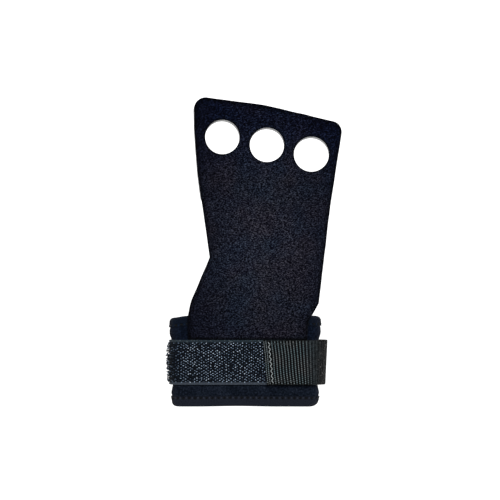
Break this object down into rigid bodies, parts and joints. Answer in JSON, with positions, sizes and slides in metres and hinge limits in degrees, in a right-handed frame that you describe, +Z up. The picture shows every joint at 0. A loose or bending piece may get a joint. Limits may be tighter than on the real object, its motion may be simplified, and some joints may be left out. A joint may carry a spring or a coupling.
{
  "type": "gymnastics hand grip",
  "caption": "Palm guard for bar work: a suede sheet with finger holes, sewn to a neoprene wristband that a hook-and-loop strap closes.",
  "frame": {"origin": "on the surface the grip lies on, under the middle of its outline", "axes": "+Z up from the surface, out of the bar side; +Y from the wrist towards the fingertips; +X across the hand, away from the thumb"},
  "size_m": [0.098, 0.173, 0.0229],
  "materials": {
    "suede": "napped",
    "neoprene": "jersey-faced foam",
    "lining": "fine knit",
    "binding": "ribbed tape",
    "thread": "twisted",
    "hook_tape": "woven",
    "hooks": "satin",
    "webbing": "ribbed weave",
    "loop_patch": "brushed loops"
  },
  "bodies": {
    "wristband": {"neoprene_cuff": "neoprene", "cuff_lining": "lining", "top_hem_binding": "binding", "bottom_hem_binding": "binding", "top_hem_stitch": "thread", "bottom_hem_stitch": "thread", "cuff_seam_tape": "binding", "suede_anchor": "suede", "suede_anchor_stitch": "thread", "suede_wrist_bend": "suede", "hook_tape": "hook_tape", "hook_field": "hooks", "hook_tape_stitch": "thread", "strap_webbing": "webbing", "strap_box_stitch": "thread", "strap_lower_bend": "webbing"},
    "palm_panel": {"suede_palm": "suede", "suede_finger_bend": "suede"},
    "finger_panel": {"suede_finger_end": "suede"},
    "strap_loop": {"strap_turn": "webbing", "strap_upper_bend": "webbing"},
    "strap_end": {"strap_end_webbing": "webbing", "loop_patch": "loop_patch", "loop_patch_stitch": "thread"}
  },
  "joints": [
    {"name": "wrist_fold", "type": "hinge", "parent": "wristband", "child": "palm_panel", "pos_m": [0, -0.0325, 0.01687], "axis": [1, 0, 0], "range_deg": [0, 150], "deforming": ["suede_wrist_bend"]},
    {"name": "finger_fold", "type": "hinge", "parent": "palm_panel", "child": "finger_panel", "pos_m": [0.0041, 0.0443, 0.001], "axis": [0.9823, -0.1874, 0], "range_deg": [0, 110], "deforming": ["suede_finger_bend"]},
    {"name": "strap_loop_open", "type": "hinge", "parent": "wristband", "child": "strap_loop", "pos_m": [0.0365, -0.0618, 0.00385], "axis": [0, 1, 0], "range_deg": [0, 75], "deforming": ["strap_lower_bend"]},
    {"name": "strap_end_open", "type": "hinge", "parent": "strap_loop", "child": "strap_end", "pos_m": [0.0365, -0.0618, 0.01905], "axis": [0, 1, 0], "range_deg": [0, 75], "deforming": ["strap_upper_bend"]}
  ],
  "couplings": [
    {"joint": "strap_end_open", "follows": "strap_loop_open", "ratio": 1}
  ]
}
